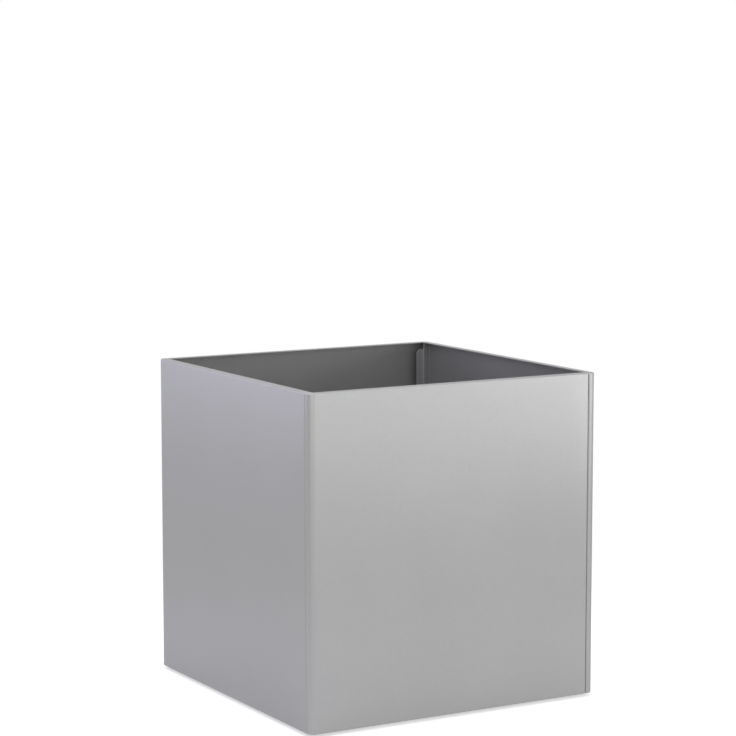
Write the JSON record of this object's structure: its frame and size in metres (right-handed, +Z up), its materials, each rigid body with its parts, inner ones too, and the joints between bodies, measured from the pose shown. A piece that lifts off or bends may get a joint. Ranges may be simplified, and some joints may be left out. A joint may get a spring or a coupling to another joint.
{
  "type": "planter",
  "caption": "Square floor planter of pressed silver sheet steel: open top with a narrow folded rim, bolted seams beside rounded corners, drop-in base plate with drains, low feet.",
  "frame": {"origin": "on the floor, under the middle of the planter", "axes": "+Z up, -Y out of the front wall, +X out of the right wall"},
  "size_m": [0.4, 0.4, 0.404],
  "materials": {
    "silver_coat": "satin silver coat",
    "base_coat": "satin silver coat",
    "zinc_plate": "zinc plated",
    "foot_rubber": "matt"
  },
  "bodies": {
    "root": {"base_plate": "base_coat", "foot_back_left": "foot_rubber", "foot_back_right": "foot_rubber", "foot_front_left": "foot_rubber", "foot_front_right": "foot_rubber", "seam_bolts_back_left": "zinc_plate", "seam_bolts_back_right": "zinc_plate", "seam_bolts_front_left": "zinc_plate", "seam_bolts_front_right": "zinc_plate", "seam_nuts_back_left": "zinc_plate", "seam_nuts_back_right": "zinc_plate", "seam_nuts_front_left": "zinc_plate", "seam_nuts_front_right": "zinc_plate", "wall_panel_back": "silver_coat", "wall_panel_front": "silver_coat", "wall_panel_left": "silver_coat", "wall_panel_right": "silver_coat"}
  },
  "joints": []
}
